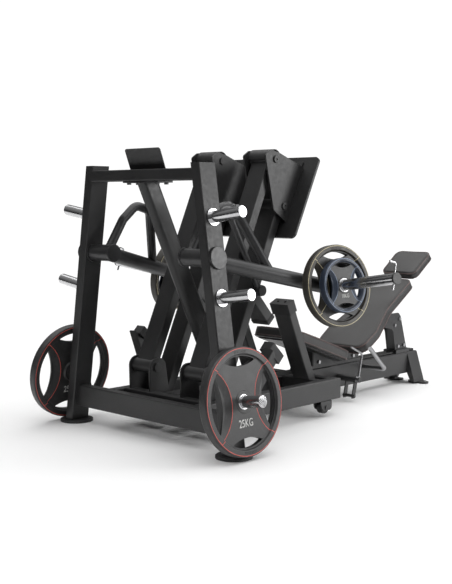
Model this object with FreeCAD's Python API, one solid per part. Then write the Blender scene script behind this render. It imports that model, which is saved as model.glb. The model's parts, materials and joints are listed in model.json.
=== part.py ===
import FreeCAD, Part
import math
import os

# Plate-loaded leg press with two independent foot plates.  Millimetres, +Z up.
# X is across the machine, +Y runs from the rear A-frame towards the seat, and the
# machine is symmetric about X = 0 apart from the release lever and the bolt heads.
# Shapes are drawn with Y = 0 on the plane of the rear posts and moved by -ORIGIN_Y
# when they are saved, so the origin lies under the middle of the whole machine.

V = FreeCAD.Vector

# ---- driving dimensions -------------------------------------------------------------
ORIGIN_Y = 940.3                      # from the post plane to the middle of the machine

TUBE_WIDE = 100.0                     # the main rectangular tube
TUBE_THIN = 50.0
TUBE_WALL = 3.0
TUBE_CORNER = 6.0

POST_TOP_X = 341.0                    # post axis at its top
POST_TOP_Z = 1207.0
POST_SPLAY = math.radians(8.4)        # posts lean inwards
CROSSBEAM_Z = (1135.0, 1185.0)
FOOT_DISC_R = 78.0
FOOT_DISC_H = 12.0

BASE_Z = (80.0, 180.0)                # bottom and top of the base beams
SIDE_BEAM_X = (255.0, 305.0)
SIDE_BEAM_END = 990.0
WHEEL = (880.0, 48.0)                 # (Y, Z) of the transport wheels' axle
SEAT_BEAM_HALF = 50.0
SEAT_BEAM_Z = (60.0, 180.0)
SEAT_BEAM_Y = (135.0, 2046.0)
ADJUSTER = (1297.0, 118.0)            # (Y, Z) of the seat adjuster's shaft
RAIL_H = 12.0                         # locking rail on top of the seat beam

STRUT_TOP = V(0, 2, 1127)
STRUT_FOOT = V(0, 460, 180)

REAR_LOW = (140.0, 288.0)             # (Y, Z) of the lower pivots
FRONT_LOW = (200.0, 73.0)
ARM_LENGTH = 1044.0
ARM_LEAN = math.radians(24.33)        # both arms lean towards the seat
ARM_X = 171.0                         # middle plane of each pair of arms
BARREL_R = 34.0
BARREL_HALF = 62.0
PIN_R = 12.0
RUNNING = 0.05                        # radial play of a pin in its bore
SIDE_PLATE_T = 8.0
SIDE_PLATE_GAP = 64.0                 # side plate's inner face from the arm's middle plane

LEVER_PIVOT_Z = 812.0
LEVER_ROOT = V(287, 0, 812)           # round main tube, drawn for the right side
LEVER_END = V(476, 711, 651)
LEVER_R = 34.0
HUB_R = 38.0
HUB_X = (236.0, 368.0)
AXLE_R = 16.0
HORN_BASE = V(513, 664, 664)          # point on the plate horn's axis, beside the main tube
HORN_DIR = V(0.970, -0.191, 0.151)
HORN_R = 25.0
HORN_START = -44.0                    # distances along the horn from HORN_BASE
HORN_FLANGE = -10.0
HORN_TIP = 397.0
HORN_PIN_AT = 385.0                   # locking pin across the horn, near its tip
HORN_PIN_R = 4.5
HORN_PIN_LEAN = math.radians(15)
ARCH_R = 21.0
ARCH_X = 280.0

LINK_X = 238.0                        # middle plane of the link rod
LINK_TOP = (249.0, 1020.0)
LINK_FOOT = (462.0, 642.0)
LINK_R = 14.5
LINK_PIN_R = 9.0
LINK_EYE_R = 26.0
LINK_EYE_HALF = 15.0
LINK_PLAY = 7.5                       # radial play of the open pivot at the link's foot

STORE_Z = (226.0, 648.0, 979.0)       # storage horns on the outer face of each post
STORE_LENGTH = 170.0

PLATE_BORE = 25.3
BIG_PLATE = (225.0, 43.0)             # radius, thickness
MID_PLATE = (187.0, 42.0)
SMALL_PLATE = (123.0, 38.0)

FOOT_PLATE_X = (21.0, 321.0)
FOOT_PLATE_LOW = (608.0, 880.0)       # (Y, Z) of the back face's lower edge
FOOT_PLATE_TILT = math.radians(26.3)
FOOT_PLATE_LENGTH = 418.0
FOOT_PLATE_T = 12.0
TREAD_T = 5.0

SEAT_FRONT = (846.0, 428.0)           # (Y, Z) of the seat's top surface
SEAT_REAR = (1296.0, 266.0)
SEAT_HALF = 165.0
SEAT_T = 60.0
BACK_LOW = (1354.0, 279.0)            # (Y, Z) of the back pad's front surface
BACK_HIGH = (1893.0, 618.0)
BACK_HALF = (166.0, 118.0)            # half width at the hips and at the shoulders
BACK_T = 56.0
HEAD_LOW = (1897.0, 641.0)
HEAD_HIGH = (2077.0, 766.0)
HEAD_HALF = 122.0
HEAD_T = 50.0


# ---- shared shape helpers -----------------------------------------------------------
def box(x0, x1, y0, y1, z0, z1):
    return Part.makeBox(x1 - x0, y1 - y0, z1 - z0, V(x0, y0, z0))


def rod(p0, p1, radius):
    axis = p1 - p0
    return Part.makeCylinder(radius, axis.Length, p0, axis)


def x_rod(x0, x1, yz, radius):
    return Part.makeCylinder(radius, x1 - x0, V(x0, yz[0], yz[1]), V(1, 0, 0))


def mirrored(shape):
    return shape.mirror(V(0, 0, 0), V(1, 0, 0))


def group(*shapes):
    return Part.makeCompound([s for shape in shapes for s in shape.Solids])


def corner_points(prev, corner, following, radius):
    """Start, middle and end of the arc that rounds one corner."""
    d_in = (corner - prev).normalize()
    d_out = (following - corner).normalize()
    turn = d_in.getAngle(d_out)
    reach = radius * math.tan(turn / 2)
    to_centre = (d_out - d_in).normalize()
    middle = corner + to_centre * (radius / math.cos(turn / 2) - radius)
    return corner - d_in * reach, middle, corner + d_out * reach


def rounded_path(points, radius):
    """Open wire of straight runs joined by tangent arcs."""
    edges = []
    start = points[0]
    for prev, corner, following in zip(points, points[1:], points[2:]):
        a, m, b = corner_points(prev, corner, following, radius)
        edges.append(Part.LineSegment(start, a).toShape())
        edges.append(Part.Arc(a, m, b).toShape())
        start = b
    edges.append(Part.LineSegment(start, points[-1]).toShape())
    return Part.Wire(edges)


def rounded_outline(points, radii):
    """Closed wire through the points, with a rounding radius at each one."""
    count = len(points)
    arcs = []
    for i, corner in enumerate(points):
        arcs.append(corner_points(points[i - 1], corner, points[(i + 1) % count], radii[i]))
    edges = []
    for i, (a, m, b) in enumerate(arcs):
        edges.append(Part.Arc(a, m, b).toShape())
        following = arcs[(i + 1) % count][0]
        if (following - b).Length > 1e-4:
            edges.append(Part.LineSegment(b, following).toShape())
    return Part.Wire(edges)


def bent_rod(points, bend, radius):
    path = rounded_path(points, bend)
    start = (points[1] - points[0]).normalize()
    circle = Part.Wire(Part.Circle(points[0], start, radius).toShape())
    return path.makePipeShell([circle], True, False)


def slab(outline_yz, radii, x0, x1):
    """Plate parallel to the YZ plane with rounded corners."""
    points = [V(x0, y, z) for y, z in outline_yz]
    if isinstance(radii, (int, float)):
        radii = [radii] * len(points)
    return Part.Face(rounded_outline(points, radii)).extrude(V(x1 - x0, 0, 0))


def rectangle_face(a, b, corner):
    """Rounded rectangle on the XY plane, a along X and b along Y."""
    pts = [V(-a / 2, -b / 2, 0), V(a / 2, -b / 2, 0), V(a / 2, b / 2, 0), V(-a / 2, b / 2, 0)]
    return Part.Face(rounded_outline(pts, [corner] * 4))


def bar(p0, p1, a, b, corner, side=V(1, 0, 0)):
    """Solid bar from p0 to p1; a is measured along side, b across it."""
    axis = p1 - p0
    shape = rectangle_face(a, b, corner).extrude(V(0, 0, axis.Length))
    shape.Placement = FreeCAD.Placement(p0, FreeCAD.Rotation(side, V(), axis, "ZXY"))
    return shape


def tube(p0, p1, a, b, side=V(1, 0, 0), closed=""):
    """Rectangular tube; closed names an end, start or end, that carries a welded cap."""
    unit = (p1 - p0).normalize()
    q0 = p0 + unit * (TUBE_WALL if closed == "start" else -1.0)
    q1 = p1 - unit * (TUBE_WALL if closed == "end" else -1.0)
    core = bar(q0, q1, a - 2 * TUBE_WALL, b - 2 * TUBE_WALL, TUBE_CORNER - TUBE_WALL, side)
    return bar(p0, p1, a, b, TUBE_CORNER, side).cut(core)


def on_arm(low, along):
    """(Y, Z) of a point on an arm, measured from its lower pivot."""
    return (low[0] + along * math.sin(ARM_LEAN), low[1] + along * math.cos(ARM_LEAN))


REAR_HIGH = on_arm(REAR_LOW, ARM_LENGTH)
FRONT_HIGH = on_arm(FRONT_LOW, ARM_LENGTH)


def yz(point, x):
    return V(x, point[0], point[1])


# ---- rear A-frame -------------------------------------------------------------------
def post_axis(z):
    """Right post's axis at height z."""
    return V(POST_TOP_X + (POST_TOP_Z - z) * math.tan(POST_SPLAY), 0, z)


POST_OUT = V(math.cos(POST_SPLAY), 0, math.sin(POST_SPLAY))    # outward face normal


def post_solid(bottom=-40.0, top=POST_TOP_Z + 40.0):
    return bar(post_axis(bottom), post_axis(top), TUBE_THIN, TUBE_WIDE, TUBE_CORNER)


def right_post():
    outer = post_solid().common(box(0, 900, -80, 80, FOOT_DISC_H, POST_TOP_Z))
    core = bar(post_axis(-40), post_axis(POST_TOP_Z + 40), TUBE_THIN - 2 * TUBE_WALL,
               TUBE_WIDE - 2 * TUBE_WALL, TUBE_CORNER - TUBE_WALL)
    core = core.common(box(0, 900, -80, 80, 0, POST_TOP_Z - TUBE_WALL))
    post = outer.cut(core)
    axle_hole = x_rod(300, 520, (0, LEVER_PIVOT_Z), AXLE_R + RUNNING)
    return post.cut(axle_hole)


def between_posts(y0, y1, z0, z1):
    """Rectangular tube along X, cut to the leaning inner faces of the posts."""
    half = post_axis(z0).x
    beam = tube(V(-half, (y0 + y1) / 2, (z0 + z1) / 2), V(half, (y0 + y1) / 2, (z0 + z1) / 2),
                z1 - z0, y1 - y0, side=V(0, 0, 1))
    post = post_solid()
    return beam.cut(post).cut(mirrored(post))


def inner_solid(shape):
    """Keeps the piece nearest the middle after a cut."""
    return min(shape.Solids, key=lambda s: abs(s.CenterOfMass.x))


def rear_frame():
    post = right_post()
    crossbeam = inner_solid(between_posts(-50, 50, *CROSSBEAM_Z))
    base = inner_solid(between_posts(-25, 25, *BASE_Z))
    return group(post, mirrored(post), crossbeam, base)


def rear_feet():
    """Round rubber foot under each post."""
    x = post_axis(0).x
    disc = Part.makeCylinder(FOOT_DISC_R, FOOT_DISC_H, V(x, 0, 0))
    disc = disc.makeChamfer(2.0, [disc.Edges[0]])
    return group(disc, mirrored(disc))


def lever_axle():
    """Fixed axle through the post, with the cover disc on the outside."""
    z = LEVER_PIVOT_Z
    face = post_axis(z) + POST_OUT * (TUBE_THIN / 2)
    shaft = x_rod(HUB_X[0] - 4, face.x + 2, (0, z), AXLE_R)
    disc = Part.makeCylinder(47.5, 11, face, POST_OUT)
    disc = disc.makeFillet(2.5, [disc.Edges[0]])
    inner_face = post_axis(z) - POST_OUT * (TUBE_THIN / 2)
    spacer = x_rod(HUB_X[1] + 0.5, inner_face.x + 20, (0, z), HUB_R + 6).cut(post_solid())
    spacer = min(spacer.Solids, key=lambda s: s.CenterOfMass.x)
    return shaft.fuse(disc).fuse(spacer).removeSplitter()


# ---- base ---------------------------------------------------------------------------
def cross_tube(x0, x1, y0, y1, z0, z1):
    y, z = (y0 + y1) / 2, (z0 + z1) / 2
    return tube(V(x0, y, z), V(x1, y, z), z1 - z0, y1 - y0, side=V(0, 0, 1))


def base_frame():
    """Side beams and the cross tubes that tie them to the seat beam."""
    x_mid = sum(SIDE_BEAM_X) / 2
    z_mid = sum(BASE_Z) / 2
    beam = tube(V(x_mid, 25, z_mid), V(x_mid, SIDE_BEAM_END, z_mid), TUBE_THIN, TUBE_WIDE,
                closed="end")
    inner = SIDE_BEAM_X[0]
    rear = cross_tube(-inner, inner, 85, 135, *BASE_Z)
    pieces = [rear, beam, mirrored(beam)]
    for y0, y1, z0, z1 in ((846, 896, 80, 180), (SIDE_BEAM_END - 50, SIDE_BEAM_END, 80, 180)):
        stub = cross_tube(SEAT_BEAM_HALF, inner, y0, y1, z0, z1)
        pieces += [stub, mirrored(stub)]
    return group(*pieces)


def seat_beam():
    """Centre beam, its splayed front foot and the adjuster shaft on each side."""
    z_mid = sum(SEAT_BEAM_Z) / 2
    height = SEAT_BEAM_Z[1] - SEAT_BEAM_Z[0]
    start, end = SEAT_BEAM_Y
    half = SEAT_BEAM_HALF
    beam = tube(V(0, start, z_mid), V(0, end, z_mid), 2 * half, height, closed="end")
    leg_outline = [V(half, 1948, 176), V(102, 1948, 10), V(76, 1948, 10), V(half, 1948, 58)]
    leg = Part.Face(Part.makePolygon(leg_outline + leg_outline[:1])).extrude(V(0, end - 1948, 0))
    adjuster = adjuster_shaft()
    return group(beam, leg, mirrored(leg), adjuster, mirrored(adjuster))


def adjuster_shaft():
    """Round shaft beside the beam with two hanging straps, and a stub for the lever."""
    shaft = x_rod(SEAT_BEAM_HALF, 174, ADJUSTER, 17)
    pieces = [x_rod(174, 196, ADJUSTER, 10), x_rod(192, 197, ADJUSTER, 14),
              x_rod(106, 180, (1275, 33), 8)]
    y, z = ADJUSTER
    for x in (112, 166):
        pieces.append(slab([(y - 13, z), (y + 13, z), (y - 9, 20), (y - 35, 20)], 4, x, x + 6))
    return shaft.fuse(pieces).removeSplitter()


def slide_rail():
    """Raised rail on top of the seat beam with a row of locking holes."""
    z = SEAT_BEAM_Z[1]
    rail = bar(V(0, 1000, z + RAIL_H / 2), V(0, 2040, z + RAIL_H / 2), 60, RAIL_H, 2)
    for i in range(9):
        hole = Part.makeCylinder(5, 26, V(0, 1560 + 20 * i, z - 1))
        rail = rail.cut(hole)
    return rail


def oval_pad(x, y, length, width, height):
    """Flat foot with two bolt heads, long across the machine."""
    reach = (length - width) / 2
    pad = box(x - reach, x + reach, y - width / 2, y + width / 2, 0, height)
    for end in (-reach, reach):
        pad = pad.fuse(Part.makeCylinder(width / 2, height, V(x + end, y, 0)))
    return pad.removeSplitter()


def floor_feet():
    feet = []
    for x, y in ((86, 2012),):
        pad = oval_pad(x, y, 128, 56, 10)
        feet += [pad, mirrored(pad)]
    return group(*feet)


def hex_head(base, axis, across=18.0, height=8.0):
    """Hexagon bolt head standing on a surface."""
    corner = across / math.sqrt(3)
    pts = [V(corner * math.cos(math.radians(60 * i)), corner * math.sin(math.radians(60 * i)), 0)
           for i in range(7)]
    head = Part.Face(Part.makePolygon(pts)).extrude(V(0, 0, height))
    head.Placement = FreeCAD.Placement(base, FreeCAD.Rotation(V(0, 0, 1), axis))
    return head


def foot_bolts():
    """Bolt heads on the oval feet, outboard and inboard of each leg."""
    heads = []
    for x, y in ((128, 2012), (54, 1994)):
        head = hex_head(V(x, y, 10), V(0, 0, 1), 16, 7)
        heads += [head, mirrored(head)]
    return group(*heads)


def wheel_fork():
    """Two tabs under the front end of a side beam that hold a transport wheel."""
    tabs = []
    for x in (SIDE_BEAM_X[0], SIDE_BEAM_X[1] - 6):
        outline = [(838, 80), (922, 80), (922, 34), (846, 34)]
        tabs.append(slab(outline, [1, 1, 20, 30], x, x + 6))
    pin = x_rod(SIDE_BEAM_X[0] - 4, SIDE_BEAM_X[1] + 4, WHEEL, 7.0)
    heads = [x_rod(SIDE_BEAM_X[0] - 9, SIDE_BEAM_X[0], WHEEL, 11),
             x_rod(SIDE_BEAM_X[1], SIDE_BEAM_X[1] + 5, WHEEL, 11)]
    fork = tabs[0].fuse([tabs[1], pin] + heads)
    return fork.removeSplitter()


def transport_wheel():
    x0, x1 = SIDE_BEAM_X[0] + 8, SIDE_BEAM_X[1] - 8
    wheel = x_rod(x0, x1, WHEEL, 30.0)
    wheel = wheel.makeFillet(4, [e for e in wheel.Edges if e.Length > 100])
    return wheel.cut(x_rod(x0 - 1, x1 + 1, WHEEL, 7.0 + RUNNING))


def arm_mount():
    """Pair of side plates that carry both lower pivots of the right arms."""
    outline = [(96, 82), (96, 190), (92, 330), (188, 330), (212, 180), (246, 100), (246, 28),
               (160, 28), (154, 70)]
    radii = [4, 20, 44, 44, 40, 30, 36, 30, 8]
    plates = []
    for x in (ARM_X - SIDE_PLATE_GAP - SIDE_PLATE_T, ARM_X + SIDE_PLATE_GAP):
        plate = slab(outline, radii, x, x + SIDE_PLATE_T)
        plate = plate.cut(bar(V(x - 5, 110, 130), V(x + 20, 110, 130), 100, 50, TUBE_CORNER,
                              side=V(0, 0, 1)))
        for pivot in (REAR_LOW, FRONT_LOW):
            plate = plate.cut(x_rod(x - 1, x + SIDE_PLATE_T + 1, pivot, PIN_R))
        plates.append(max(plate.Solids, key=lambda s: s.Volume))
    return group(*plates)


def headed_pin(x0, x1, pivot, radius=PIN_R, head_r=20.0):
    """Pivot pin along X with a round head on each end and a small centre hole."""
    pin = x_rod(x0, x1, pivot, radius)
    heads = [x_rod(x0 - 7, x0, pivot, head_r), x_rod(x1, x1 + 7, pivot, head_r)]
    pin = pin.fuse(heads).removeSplitter()
    return pin.cut(x_rod(x1 + 3, x1 + 8, pivot, 5))


def arm_pins():
    reach = SIDE_PLATE_GAP + SIDE_PLATE_T
    return group(*[headed_pin(ARM_X - reach, ARM_X + reach, p) for p in (REAR_LOW, FRONT_LOW)])


def centre_strut():
    """Flat-oval tube from the crossbeam down to the seat beam, with its top plate."""
    axis = (STRUT_TOP - STRUT_FOOT).normalize()
    low, high = STRUT_FOOT - axis * 60, STRUT_TOP + axis * 60
    outer = bar(low, high, 50, 100, 24.9)
    core = bar(low - axis, high + axis, 44, 94, 21.9)
    limits = box(-60, 60, -80, 560, STRUT_FOOT.z, STRUT_TOP.z)
    oval = outer.cut(core).common(limits)
    plate = bar(V(0, 0, STRUT_TOP.z), V(0, 0, CROSSBEAM_Z[0]), 230, 92, 6)
    shoe = bar(V(0, 460, STRUT_FOOT.z), V(0, 460, STRUT_FOOT.z + 8), 92, 150, 6)
    shoe = shoe.cut(outer)
    return group(oval, plate, *shoe.Solids)


def strut_bolts():
    heads = []
    for x in (-92, 92):
        for y in (-26, 26):
            heads.append(hex_head(V(x, y, STRUT_TOP.z), V(0, 0, -1), 17, 8))
    for x in (-36, 36):
        for y in (396, 524):
            heads.append(hex_head(V(x, y, STRUT_FOOT.z + 8), V(0, 0, 1), 15, 7))
    return group(*heads)


def placard():
    """Blank bent sheet on top of the crossbeam, leaning back."""
    z = CROSSBEAM_Z[1]
    outline = [(38, z), (38, z + 3), (3.2, z + 3), (-31, z + 92), (-34, z + 91), (1, z)]
    radii = [1, 1, 2, 1, 1, 4]
    sheet = slab(outline, radii, -114, 114)
    up = V(0, -34.5, 89).normalize()
    trim = rectangle_face(228, 160, 12).extrude(V(0, 0, 60))
    across = V(0, up.z, -up.y)
    middle = V(0, 0, z) + up * 16 - across * 30
    trim.Placement = FreeCAD.Placement(middle, FreeCAD.Rotation(V(1, 0, 0), V(), across, "ZXY"))
    flange = box(-114, 114, 2, 60, z - 1, z + 3)
    return sheet.common(trim.fuse(flange))


def placard_screws():
    z = CROSSBEAM_Z[1] + 3
    return group(*[hex_head(V(x, 23, z), V(0, 0, 1), 13, 5) for x in (-80, 80)])


def frame_bolts():
    return group(foot_bolts(), strut_bolts(), placard_screws())


# ---- stops --------------------------------------------------------------------------
STOP_BASE = V(ARM_X, 871, 180)
STOP_AXIS = V(0, -math.sin(math.radians(23.9)), math.cos(math.radians(23.9)))
STOP_LENGTH = 402.0


def stop_post():
    """Leaning tube that the front arm comes to rest on."""
    top = STOP_BASE + STOP_AXIS * STOP_LENGTH
    low = STOP_BASE - STOP_AXIS * 60
    post = tube(low, top, TUBE_WIDE, TUBE_THIN, closed="end")
    return post.common(box(0, 400, 600, 1000, BASE_Z[1], 700))


def stop_cap():
    """Rubber cap on the stop post, held by two screws from above."""
    top = STOP_BASE + STOP_AXIS * (STOP_LENGTH + 24)
    skirt = STOP_BASE + STOP_AXIS * (STOP_LENGTH - 34)
    cap = bar(skirt, top, 114, 56, 4)
    post = bar(skirt - STOP_AXIS, STOP_BASE + STOP_AXIS * STOP_LENGTH, TUBE_WIDE + 0.2,
               TUBE_THIN + 0.2, TUBE_CORNER)
    cap = cap.cut(post)
    for x in (-22, 22):
        seat = top + V(x, 0, 0)
        cap = cap.cut(rod(seat - STOP_AXIS * 9, seat + STOP_AXIS, 7.5))
    return cap


BUMPER_X = 421.0
BUMPER_SLOPE = math.radians(44.8)
BUMPER_TOP = V(BUMPER_X, 360.0, 403.0)
BUMPER_DOWN = V(0, -math.sin(BUMPER_SLOPE), -math.cos(BUMPER_SLOPE))


def lever_stop():
    """Post welded to the outside of the side beam, leaning outwards to the lever."""
    top = BUMPER_TOP + BUMPER_DOWN * 48
    foot = V(283, 300, 132)
    side = V(0, 1, 0)
    post = tube(foot, top + (top - foot) * 0.2, 78, TUBE_THIN, side=side)
    plate = bumper_block().fuse(bar(BUMPER_TOP + BUMPER_DOWN * 40, BUMPER_TOP - BUMPER_DOWN * 90,
                                    400, 400, 1))
    post = post.cut(plate)
    post = min(post.Solids, key=lambda s: s.CenterOfMass.z)
    beam = box(SIDE_BEAM_X[0] - 40, SIDE_BEAM_X[1], 0, SIDE_BEAM_END, 60, BASE_Z[1])
    return max(post.cut(beam).Solids, key=lambda s: s.Volume)


def bumper_block():
    """Rubber block whose top lies along the lever's underside in its lowest position."""
    return bar(BUMPER_TOP + BUMPER_DOWN * 46, BUMPER_TOP, 58, 96, 5)


def frame_rubbers():
    """Stop cap and lever bumper of one side."""
    return group(stop_cap(), bumper_block())


# ---- storage horns ------------------------------------------------------------------
def store_face(z):
    return post_axis(z) + POST_OUT * (TUBE_THIN / 2)


def storage_horn(z):
    face = store_face(z)
    tip = face + POST_OUT * STORE_LENGTH
    horn = rod(face, tip, HORN_R)
    horn = horn.makeFillet(3, [e for e in horn.Edges if abs(e.Length - 2 * math.pi * HORN_R) < 1
                               and (e.CenterOfMass - tip).Length < 5])
    flange = rod(face, face + POST_OUT * 6, 36)
    dimple = rod(tip - POST_OUT * 4, tip + POST_OUT, 3.5)
    return horn.fuse(flange).removeSplitter().cut(dimple)


def storage_horns():
    return group(*[storage_horn(z) for z in STORE_Z])


# ---- weight plates ------------------------------------------------------------------
def lens_cut(radius, corner_angle, corner_r, near, depth, turn):
    """Opening between the rim circle and an arc that bulges towards the hub."""
    corner = V(corner_r * math.cos(corner_angle), corner_r * math.sin(corner_angle), 0) * radius
    low = V(corner.x, -corner.y, 0)
    rim = Part.Arc(low, V(corner_r * radius, 0, 0), corner).toShape()
    inner = Part.Arc(corner, V(near * radius, 0, 0), low).toShape()
    cut = Part.Face(Part.Wire([rim, inner])).extrude(V(0, 0, depth))
    cut.translate(V(0, 0, -depth / 2))
    cut.rotate(V(0, 0, 0), V(0, 0, 1), turn)
    return cut


def dish_cut(radius, top, drop, turn):
    """Conical dish beside the hub, which leaves the sloping band round a side opening."""
    centre = 1.06 * radius
    cone = Part.makeCone(0.60 * radius, 0.75 * radius, drop, V(centre, 0, top - drop))
    above = Part.makeCylinder(0.75 * radius, 40, V(centre, 0, top))
    inside_rim = Part.makeCylinder(0.84 * radius, drop + 40, V(0, 0, top - drop))
    cut = cone.fuse(above).common(inside_rim)
    cut.rotate(V(0, 0, 0), V(0, 0, 1), turn)
    return cut


def weight_plate(size):
    """Four-opening plate about the Z axis, inner face on Z = 0, alike on both faces."""
    radius, thick = size
    step = 0.23 * thick
    hub = max(0.20 * radius, PLATE_BORE + 9)
    rim_in = 0.85 * radius
    outer = 0.20 * thick
    profile = [V(PLATE_BORE, 0, 2), V(hub, 0, 2), V(hub + 6, 0, step), V(rim_in, 0, step),
               V(rim_in + 4, 0, 0), V(radius, 0, 0), V(radius, 0, thick), V(rim_in + 4, 0, thick),
               V(rim_in, 0, thick - step), V(hub + 2, 0, thick - step),
               V(hub, 0, thick - step + 2), V(PLATE_BORE, 0, thick - step + 2)]
    radii = [0.8, 1, 3, 3, 3, outer, outer, 3, 3, 0.8, 0.8, 0.8]
    section = Part.Face(rounded_outline(profile, radii))
    plate = section.revolve(V(0, 0, 0), V(0, 0, 1), 360)
    middle = V(0, 0, thick / 2)
    for turn in (0, 180):
        dish = dish_cut(radius, thick - step, 0.17 * thick, turn)
        plate = plate.cut(dish).cut(dish.mirror(middle, V(0, 0, 1)))
        plate = plate.cut(lens_cut(radius, math.radians(38), 0.82, 0.52, 4 * thick, turn))
    for turn in (90, 270):
        plate = plate.cut(lens_cut(radius, math.radians(28), 0.83, 0.645, 4 * thick, turn))
    return max(plate.Solids, key=lambda s: s.Volume)


def placed_plate(size, seat, axis):
    """Plate with its inner face centred on seat, facing along axis, openings upright."""
    plate = weight_plate(size)
    across = V(0, 1, 0)
    if abs(axis.y) > 1e-6:
        across = axis.cross(V(0, 0, 1)).normalize()
    rotation = FreeCAD.Rotation(across, V(), axis, "ZXY")
    plate.Placement = FreeCAD.Placement(seat, rotation)
    return plate


def storage_plate():
    seat = store_face(STORE_Z[0]) + POST_OUT * 31
    return placed_plate(BIG_PLATE, seat, POST_OUT)


def horn_point(along):
    return HORN_BASE + HORN_DIR * along


def lever_plate_large():
    return placed_plate(MID_PLATE, horn_point(HORN_FLANGE + 7), HORN_DIR)


def lever_plate_small():
    return placed_plate(SMALL_PLATE, horn_point(HORN_FLANGE + 8 + MID_PLATE[1]), HORN_DIR)


# ---- arms ---------------------------------------------------------------------------
def arm_tube(low, high):
    """Rectangular tube between two barrels; b is the thin way, in the plane of motion."""
    p0, p1 = yz(low, ARM_X), yz(high, ARM_X)
    arm = tube(p0, p1, TUBE_WIDE, TUBE_THIN)
    for pivot in (low, high):
        arm = arm.cut(x_rod(ARM_X - 80, ARM_X + 80, pivot, BARREL_R))
    return max(arm.Solids, key=lambda s: s.Volume)


def barrel(pivot, half=BARREL_HALF, play=RUNNING):
    x0, x1 = ARM_X - half, ARM_X + half
    sleeve = x_rod(x0, x1, pivot, BARREL_R)
    return sleeve.cut(x_rod(x0 - 1, x1 + 1, pivot, PIN_R + play))


def rear_arm():
    """The top bore is the open pivot of the parallelogram, so it has extra play."""
    return group(arm_tube(REAR_LOW, REAR_HIGH), barrel(REAR_LOW), barrel(REAR_HIGH, play=0.6))


BUFFER_ROOT = V(ARM_X, 452, 622)
BUFFER_END = V(ARM_X, 556, 508)


def front_arm():
    """Front arm with its diagonal buffer bar and the boss for the link pin."""
    arm = arm_tube(FRONT_LOW, FRONT_HIGH)
    solid_arm = bar(yz(FRONT_LOW, ARM_X), yz(FRONT_HIGH, ARM_X), TUBE_WIDE, TUBE_THIN, TUBE_CORNER)
    buffer_bar = tube(BUFFER_ROOT, BUFFER_END, TUBE_WIDE, TUBE_THIN, closed="end").cut(solid_arm)
    buffer_bar = max(buffer_bar.Solids, key=lambda s: s.CenterOfMass.y)
    face = ARM_X + TUBE_WIDE / 2
    near, far = LINK_X - LINK_EYE_HALF - 0.5, LINK_X + LINK_EYE_HALF + 0.5
    boss = x_rod(face, near, LINK_FOOT, 25)
    pin = x_rod(face, far + 4, LINK_FOOT, LINK_PIN_R)
    cap = x_rod(far, far + 9, LINK_FOOT, 24)
    boss = boss.fuse([pin, cap]).removeSplitter()
    return group(arm, barrel(FRONT_LOW), barrel(FRONT_HIGH), buffer_bar, boss)


def buffer_pad():
    """Rubber pad screwed to the end of the buffer bar."""
    axis = (BUFFER_END - BUFFER_ROOT).normalize()
    return bar(BUFFER_END, BUFFER_END + axis * 22, 104, 54, 4)


# ---- foot plates --------------------------------------------------------------------
PLATE_UP = V(0, math.sin(FOOT_PLATE_TILT), math.cos(FOOT_PLATE_TILT))
PLATE_OUT = V(0, math.cos(FOOT_PLATE_TILT), -math.sin(FOOT_PLATE_TILT))    # towards the seat


def foot_sheet(start, thickness, inset):
    """Rounded sheet parallel to the foot plate, start mm in front of its back face."""
    x0, x1 = FOOT_PLATE_X
    width = x1 - x0 - 2 * inset
    height = FOOT_PLATE_LENGTH - 2 * inset
    middle = V((x0 + x1) / 2, *FOOT_PLATE_LOW) + PLATE_UP * (FOOT_PLATE_LENGTH / 2)
    face = rectangle_face(width, height, 26 - inset / 2)
    sheet = face.extrude(V(0, 0, thickness))
    rotation = FreeCAD.Rotation(V(1, 0, 0), V(), PLATE_OUT, "ZXY")
    sheet.Placement = FreeCAD.Placement(middle + PLATE_OUT * start, rotation)
    return sheet


def foot_plate():
    """Steel plate with its rubber tread as a second solid."""
    return group(foot_sheet(0, FOOT_PLATE_T, 0), foot_tread())


def foot_tread():
    """Ribbed rubber sheet on the foot plate's face."""
    tread = foot_sheet(FOOT_PLATE_T, TREAD_T, 9)
    bottom = V(0, *FOOT_PLATE_LOW) + PLATE_OUT * (FOOT_PLATE_T + TREAD_T)
    for i in range(1, 13):
        middle = bottom + PLATE_UP * (FOOT_PLATE_LENGTH * i / 13)
        tread = tread.cut(bar(middle + V(40, 0, 0), middle + V(302, 0, 0), 4, 3, 1, side=PLATE_UP))
    return tread


def along_plate(up, out):
    """(Y, Z) from distances up the foot plate and out from its back face."""
    p = V(0, *FOOT_PLATE_LOW) + PLATE_UP * up + PLATE_OUT * out
    return (p.y, p.z)


def plate_bracket():
    """Two side plates and cross plates that hang the foot plate on the arms' pins."""
    outline = [along_plate(78, 0), along_plate(362, 0), (604, 1266), (541, 1282), (500, 1256),
               (557, 1007)]
    radii = [6, 10, 40, 24, 14, 24]
    pieces = []
    for x in (ARM_X - SIDE_PLATE_GAP - SIDE_PLATE_T, ARM_X + SIDE_PLATE_GAP):
        plate = slab(outline, radii, x, x + SIDE_PLATE_T)
        for pivot in (REAR_HIGH, FRONT_HIGH):
            plate = plate.cut(x_rod(x - 1, x + SIDE_PLATE_T + 1, pivot, PIN_R))
        pieces.append(plate)
    x0, x1 = ARM_X - SIDE_PLATE_GAP, ARM_X + SIDE_PLATE_GAP
    backing = [along_plate(150, 0), along_plate(390, 0), along_plate(390, -7),
               along_plate(150, -7)]
    pieces.append(slab(backing, 1, x0, x1))
    pieces.append(pivot_cover(x0, x1))
    for pivot in (REAR_HIGH, FRONT_HIGH):
        pieces.append(headed_pin(x0 - SIDE_PLATE_T, x1 + SIDE_PLATE_T, pivot, head_r=17))
    return group(*pieces)


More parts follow.
